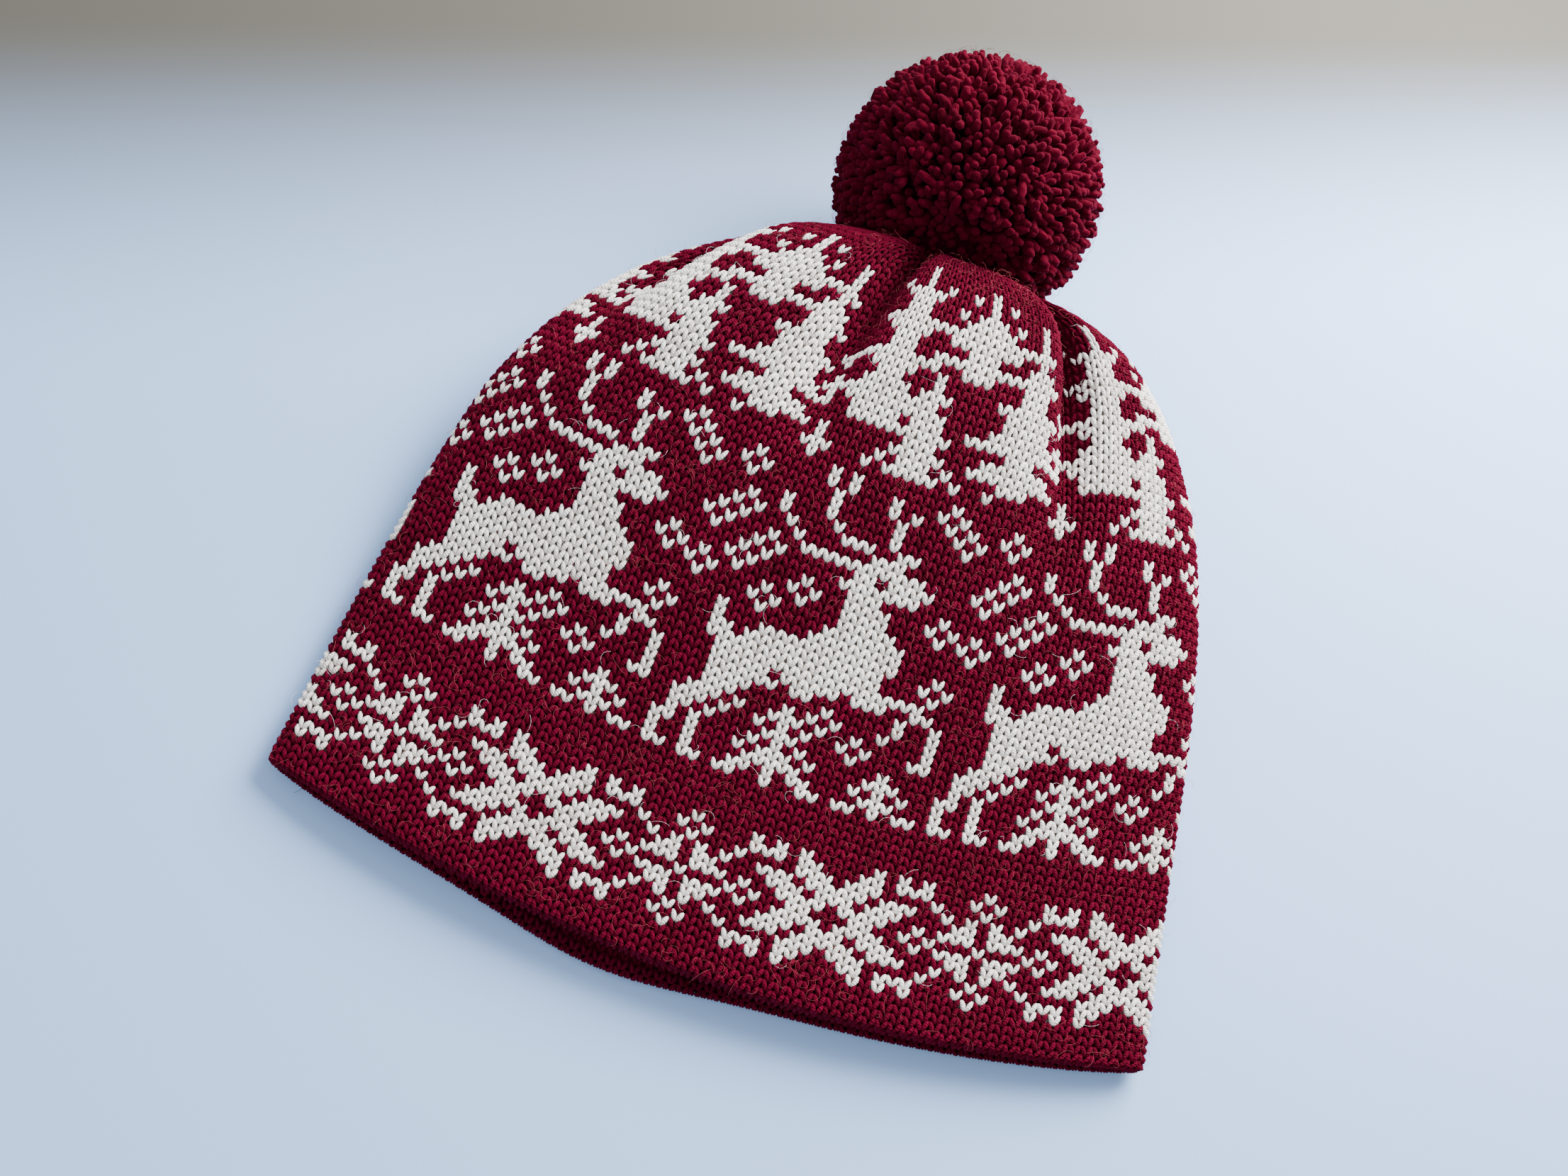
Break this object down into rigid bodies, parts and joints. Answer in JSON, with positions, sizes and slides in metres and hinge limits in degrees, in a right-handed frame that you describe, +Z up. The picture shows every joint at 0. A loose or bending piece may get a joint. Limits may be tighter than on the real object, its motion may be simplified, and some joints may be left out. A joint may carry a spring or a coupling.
{
  "type": "knitted beanie with pompom",
  "caption": "Stranded-knit wool winter hat, lying flat: a hollow tube gathered at the crown, open at the brim, with a pompom of cut yarn tied on its end.",
  "frame": {"origin": "middle of the hat's box, on the surface that it lies on", "axes": "+Y from the brim to the pompom, +X across the hat, +Z up from the surface"},
  "size_m": [0.2488, 0.3228, 0.0895],
  "materials": {
    "burgundy_wool": "matt wool yarn in stocking stitch with a light fuzz",
    "cream_wool": "matt off-white wool yarn of the figures",
    "pompom_wool": "cut wool yarn ends",
    "tie_yarn": "plain twisted wool yarn"
  },
  "bodies": {
    "root": {"knit_body": "burgundy_wool", "pompom": "pompom_wool", "pompom_tie": "tie_yarn"}
  },
  "joints": []
}
